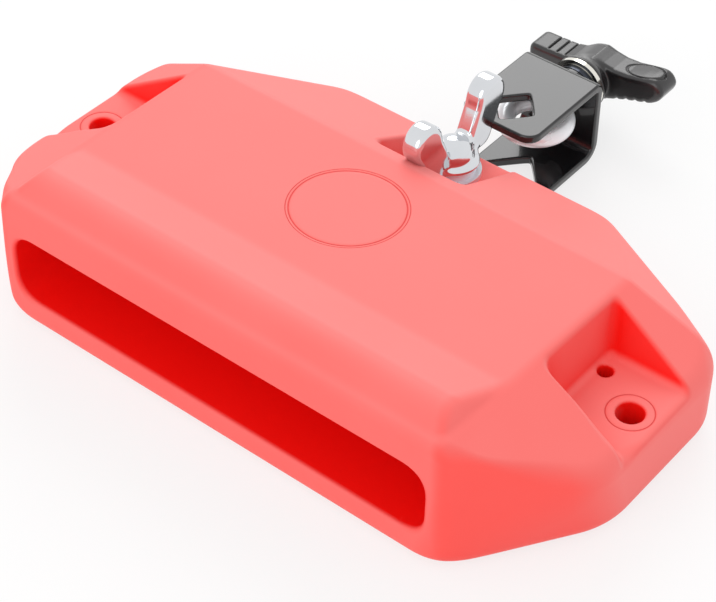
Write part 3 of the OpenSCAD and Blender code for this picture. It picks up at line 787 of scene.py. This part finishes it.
# Dark paint and moulded plastic: a tint that wanders, under a clear layer.
coating = {"cloud": 45.0, "wander": 0.05, "height": 0.00008, "strength": 0.12, "specular": 0.35}
coats = {
    "black_paint": {"dark": (0.004, 0.004, 0.0045, 1), "light": (0.008, 0.008, 0.009, 1), "grain": 1500.0,
                    "rough": 0.22, "coat": 0.6, "coatRough": 0.05},
    "black_plastic": {"dark": (0.006, 0.005, 0.006, 1), "light": (0.012, 0.010, 0.011, 1), "grain": 1800.0,
                      "rough": 0.36, "coat": 0.75, "coatRough": 0.24},
}


def makeCoat(name):
    p = coating | coats[name]
    material, tree, shader = newMaterial(name)
    noise = addMottle(tree, p)
    tree.links.new(blendColours(tree, noise["Cloud"], p["dark"], p["light"]), shader.inputs["Base Color"])
    shader.inputs["Specular IOR Level"].default_value = p["specular"]
    shader.inputs["Coat Weight"].default_value = p["coat"]
    shader.inputs["Coat Roughness"].default_value = p["coatRough"]
    addFinish(tree, shader, noise, p)
    return material


zinc, paint = makePlate("zinc_plate"), makeCoat("black_paint")
block.data.materials.append(makeRedPlastic(redPlastic))
wing.data.materials.append(makePlate("chrome_plate"))
handle.data.materials.append(makeCoat("black_plastic"))
bracket.data.materials.append(paint)
for name, material in {
    "flat_washer": zinc, "split_washer": zinc, "wing_shank": zinc, "weld_nut": zinc,
    # The eye bolt takes the zinc copy with painted light.
    "eye_bolt": makePlate("zinc_painted_light"), "collar_washer": paint, "handle_ferrule": makeFerruleChrome(),
    "threaded_insert": makePlate("brass"),
}.items():
    nodes[name].data.materials.clear()
    nodes[name].data.materials.append(material)
print("materials ready")


# Floor, light and camera, in metres.
studio = {
    "floor": (0.92, 0.92, 0.92, 1), "floorSize": 14.0, "floorDrop": 0.0004, "floorGlow": 0.75,
    "floorRough": 0.8, "world": 0.82,
    "key": {"place": (-0.46, 0.66, 0.71), "aim": (0, 0.05, 0.03), "size": (0.75, 0.62), "power": 3.6},
    "fill": {"place": (0.0, -0.87, 0.5), "aim": (0, 0, 0.03), "size": (0.8, 0.8), "power": 2.3},
}


def seenRays(tree):
    # One for camera, mirror and glass rays, nothing for the rays that light the object.
    path = tree.nodes.new("ShaderNodeLightPath").outputs
    seen = addMath(tree, "MAXIMUM", path["Is Camera Ray"], path["Is Glossy Ray"])
    return addMath(tree, "MAXIMUM", seen, path["Is Transmission Ray"])


def makeFloor(s):
    # Part of the floor glows for what sees it, so that it is pale and still takes a shadow.
    bpy.ops.mesh.primitive_plane_add(size=s["floorSize"], location=(0, 0, -s["floorDrop"]))
    floor = bpy.context.object
    floor.name = "floor"
    material, tree, shader = newMaterial("pale_floor")
    shader.inputs["Base Color"].default_value = s["floor"]
    shader.inputs["Roughness"].default_value = s["floorRough"]
    shader.inputs["Specular IOR Level"].default_value = 0.0
    glow = addNode(tree, "ShaderNodeEmission", Strength=1.0)
    mix = tree.nodes.new("ShaderNodeMixShader")
    tree.links.new(addMath(tree, "MULTIPLY", seenRays(tree), s["floorGlow"]), mix.inputs[0])
    tree.links.new(shader.outputs[0], mix.inputs[1])
    tree.links.new(glow.outputs[0], mix.inputs[2])
    tree.links.new(mix.outputs[0], tree.nodes["Material Output"].inputs["Surface"])
    floor.data.materials.append(material)


def makeSky(s):
    # White for what sees it, and a little less for the light it gives.
    world = bpy.data.worlds.new("studio")
    scene.world = world
    world.use_nodes = True
    tree = world.node_tree
    sky = tree.nodes["Background"]
    sky.inputs["Color"].default_value = (1, 1, 1, 1)
    tree.links.new(addRamp(tree, seenRays(tree), To_Min=s["world"], To_Max=1.0), sky.inputs["Strength"])


def makeLamp(name, p):
    light = bpy.data.lights.new(name, "AREA")
    light.shape = "ELLIPSE"
    light.size, light.size_y = p["size"]
    light.energy = p["power"]
    lamp = bpy.data.objects.new(name, light)
    scene.collection.objects.link(lamp)
    lamp.location = p["place"]
    lamp.rotation_mode = "QUATERNION"
    lamp.rotation_quaternion = (Vector(p["aim"]) - Vector(p["place"])).to_track_quat("-Z", "Y")


makeFloor(studio)
makeSky(studio)
makeLamp("key", studio["key"])
makeLamp("fill", studio["fill"])

# Angles in degrees, aim and distance in millimetres, focal length in pixels of the image width.
cameraPose = {"pitch": 42.959, "yaw": 38.765, "roll": 0.269, "aim": (10.768, -8.059, 20.0),
              "distance": 619.06, "focal": 2117.66, "imageWidth": 716, "sensor": 36, "clip": (0.01, 50)}


def makeCamera(c):
    pitch, yaw, roll = (math.radians(c[k]) for k in ("pitch", "yaw", "roll"))
    forward = Vector((-math.sin(yaw) * math.cos(pitch), math.cos(yaw) * math.cos(pitch), -math.sin(pitch)))
    right = Vector((math.cos(yaw), math.sin(yaw), 0))
    up = right.cross(forward)
    rightTurned = right * math.cos(roll) + up * math.sin(roll)
    upTurned = up * math.cos(roll) - right * math.sin(roll)
    data = bpy.data.cameras.new("camera")
    data.sensor_width = c["sensor"]
    data.lens = c["sensor"] * c["focal"] / c["imageWidth"]
    data.clip_start, data.clip_end = c["clip"]
    camera = bpy.data.objects.new("camera", data)
    scene.collection.objects.link(camera)
    turned = Matrix((rightTurned, upTurned, -forward)).transposed().to_4x4()
    camera.matrix_world = Matrix.Translation((Vector(c["aim"]) - forward * c["distance"]) * mm) @ turned
    scene.camera = camera


makeCamera(cameraPose)
scene.view_settings.view_transform = "Standard"
print("camera and light placed")
